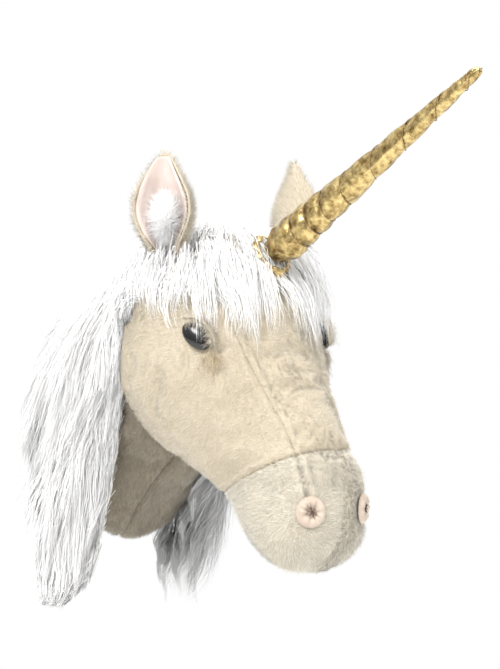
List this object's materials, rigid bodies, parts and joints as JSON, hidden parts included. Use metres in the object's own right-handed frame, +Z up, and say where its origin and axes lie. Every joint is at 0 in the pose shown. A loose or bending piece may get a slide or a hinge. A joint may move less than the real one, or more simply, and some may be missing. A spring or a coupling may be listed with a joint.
{
  "type": "wall-hung plush unicorn head",
  "caption": "Stuffed plush unicorn head on a short neck, with a wound gold horn, lined ears and a long white mane, on a back board with a hanging ring.",
  "frame": {"origin": "centre of the back board's covered face, where it meets the wall", "axes": "+Z up, +Y into the wall, so the head looks along -Y; the animal's right side is -X"},
  "size_m": [0.2519, 0.4031, 0.4422],
  "materials": {
    "head_plush": "short cream-beige plush pile, brushed, matt",
    "muzzle_plush": "slightly longer, denser beige plush pile, matt",
    "long_pile": "long white faux-fur pile, soft and fluffy",
    "stuffing": "white polyester fibre filling",
    "gold_lame": "crinkled metallic gold lame cloth, shiny",
    "horn_thread": "twisted gold-brown thread",
    "pink_satin": "pale pink satin with soft creases",
    "stitch_thread": "dark brown thread",
    "eye_black": "glossy black plastic",
    "washer_plastic": "white moulded plastic",
    "plywood": "raw plywood with a fine straight grain",
    "backing_felt": "pressed beige felt",
    "hanger_steel": "zinc-plated steel"
  },
  "bodies": {
    "head": {"back_board": "plywood", "back_felt": "backing_felt", "hanger_strap": "hanger_steel", "hanger_screw_upper": "hanger_steel", "hanger_screw_lower": "hanger_steel", "neck_skin_right": "head_plush", "throat_gusset": "head_plush", "neck_skin_left": "head_plush", "bridge_gusset": "head_plush", "cheek_panel_right": "head_plush", "jaw_gusset": "head_plush", "poll_gusset": "head_plush", "cheek_panel_left": "head_plush", "muzzle_cap": "muzzle_plush", "stuffing": "stuffing", "eye_right": "eye_black", "eye_washer_right": "washer_plastic", "eyelid_right": "head_plush", "nostril_disc_right": "pink_satin", "nostril_stitch_right": "stitch_thread", "eye_left": "eye_black", "eye_washer_left": "washer_plastic", "eyelid_left": "head_plush", "nostril_disc_left": "pink_satin", "nostril_stitch_left": "stitch_thread", "forelock": "long_pile", "mane_right": "long_pile", "mane_left": "long_pile", "horn_collar": "gold_lame"},
    "hanger_ring": {"hanger_ring": "hanger_steel"},
    "horn": {"horn_cover": "gold_lame", "horn_filling": "stuffing", "horn_thread": "horn_thread"},
    "ear_right": {"ear_shell_right": "head_plush", "ear_lining_right": "pink_satin", "ear_tuft_right": "long_pile"},
    "ear_left": {"ear_shell_left": "head_plush", "ear_lining_left": "pink_satin", "ear_tuft_left": "long_pile"}
  },
  "joints": [
    {"name": "horn_tilt", "type": "hinge", "parent": "head", "child": "horn", "pos_m": [0, -0.175, 0.145], "axis": [1, 0, 0], "range_deg": [-10, 10], "stiffness_Nm_per_rad": 2},
    {"name": "ear_right_flex", "type": "hinge", "parent": "head", "child": "ear_right", "pos_m": [-0.069, -0.127, 0.15], "axis": [-0.2872, 0.9572, 0.0357], "range_deg": [-15, 15], "stiffness_Nm_per_rad": 0.4},
    {"name": "ear_left_flex", "type": "hinge", "parent": "head", "child": "ear_left", "pos_m": [0.069, -0.127, 0.15], "axis": [0.2872, 0.9572, 0.0357], "range_deg": [-15, 15], "stiffness_Nm_per_rad": 0.4},
    {"name": "hanger_ring_swing", "type": "hinge", "parent": "head", "child": "hanger_ring", "pos_m": [0, -0.0069, 0.038], "axis": [1, 0, 0], "range_deg": [0, 180]}
  ]
}
